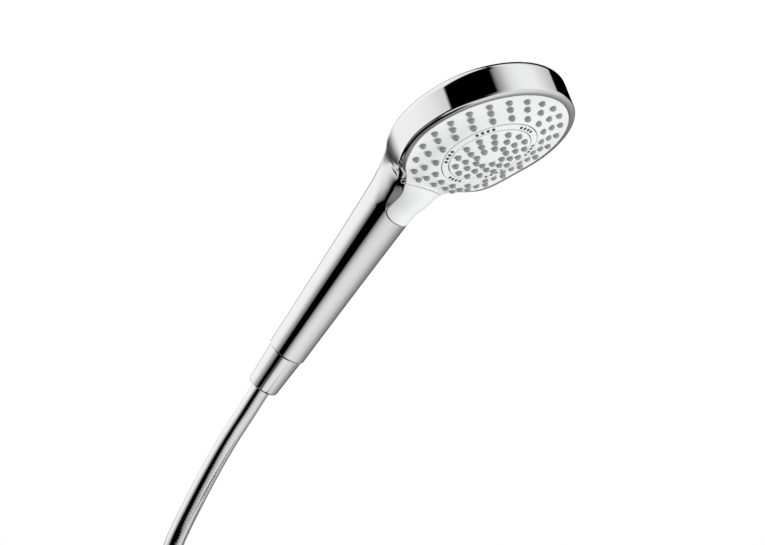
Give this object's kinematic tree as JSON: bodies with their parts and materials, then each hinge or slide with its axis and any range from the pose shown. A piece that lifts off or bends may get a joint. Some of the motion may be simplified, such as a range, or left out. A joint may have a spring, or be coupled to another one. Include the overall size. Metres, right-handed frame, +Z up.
{
  "type": "handheld shower head",
  "caption": "Handheld shower head with a round tilted spray face, a rocker button for the spray, a tapered chrome handle, a cone nut and a long metal-look hose.",
  "frame": {"origin": "on the handle's axis, in the middle of the cone nut, where the cone of a wall holder grips it", "axes": "+Z up as the handset sits in its holder, +X the side that the head reaches out to, the handset symmetric about Y = 0"},
  "size_m": [0.3323, 0.2043, 0.3467],
  "materials": {
    "chrome": "polished",
    "white": "glossy",
    "grey_rubber": "satin",
    "dark_jets": "satin",
    "plastic": "matt",
    "brass": "machined",
    "steel": "satin",
    "seal": "matt",
    "hose_chrome": "polished, with fine cross lines"
  },
  "bodies": {
    "root": {"spray_face": "white", "ring_plate": "white", "centre_disc": "white", "outer_nozzle_mat": "grey_rubber", "inner_nozzle_mat": "grey_rubber", "jet_ring": "dark_jets", "distributor": "plastic", "face_gasket": "seal", "centre_screw": "steel", "guide_gasket": "seal", "water_guide": "plastic", "body_shell": "chrome", "button_pin": "steel", "button_carrier": "plastic", "cartridge_housing": "plastic", "valve_seat": "seal", "cartridge_cap": "plastic", "cap_seal": "seal", "return_spring": "steel", "water_tube": "plastic", "inlet_nipple": "brass", "tube_seal_1": "seal", "tube_seal_2": "seal", "flow_limiter": "plastic", "filter_washer": "seal", "hose_insert": "brass", "crimp_sleeve": "steel", "hose_lead": "hose_chrome", "hose_coil": "hose_chrome", "hose_tail": "hose_chrome", "wall_sleeve": "chrome", "wall_insert": "brass", "wall_washer": "seal"},
    "button": {"select_button": "white"},
    "plunger": {"plunger": "plastic"},
    "selector": {"ratchet_rotor": "plastic", "valve_disc": "plastic"},
    "nut_slide": {"slip_ring": "plastic"},
    "nut": {"cone_nut": "chrome"},
    "wall_nut": {"wall_nut": "chrome"}
  },
  "joints": [
    {"name": "button_press", "type": "hinge", "parent": "root", "child": "button", "pos_m": [0.10791, 0, 0.09954], "axis": [0, 1, 0], "range_deg": [0, 4], "stiffness_Nm_per_rad": 2},
    {"name": "plunger_slide", "type": "slide", "parent": "root", "child": "plunger", "axis": [-0.7242, 0, 0.6896], "range_m": [0, 0.00116], "deforming": ["return_spring"]},
    {"name": "selector_turn", "type": "hinge", "parent": "root", "child": "selector", "pos_m": [0.08965, 0, 0.09414], "axis": [0.7242, 0, -0.6896], "range_deg": [0, 60]},
    {"name": "nut_slide", "type": "slide", "parent": "root", "child": "nut_slide", "axis": [-0.6896, 0, -0.7242], "range_m": [0, 0.0091]},
    {"name": "cone_nut_turn", "type": "hinge", "parent": "nut_slide", "child": "nut", "pos_m": [0, 0, 0], "axis": [-0.6896, 0, -0.7242], "range_deg": [0, 1800]},
    {"name": "wall_nut_spin", "type": "hinge", "parent": "root", "child": "wall_nut", "pos_m": [-0.1103, 0.1416, -0.1777], "axis": [0, 1, 0], "continuous": true}
  ],
  "couplings": [
    {"joint": "plunger_slide", "follows": "button_press", "m_per_rad": 0.0165},
    {"joint": "selector_turn", "follows": "button_press", "ratio": 15},
    {"joint": "nut_slide", "follows": "cone_nut_turn", "m_per_rad": 0.00028871}
  ]
}
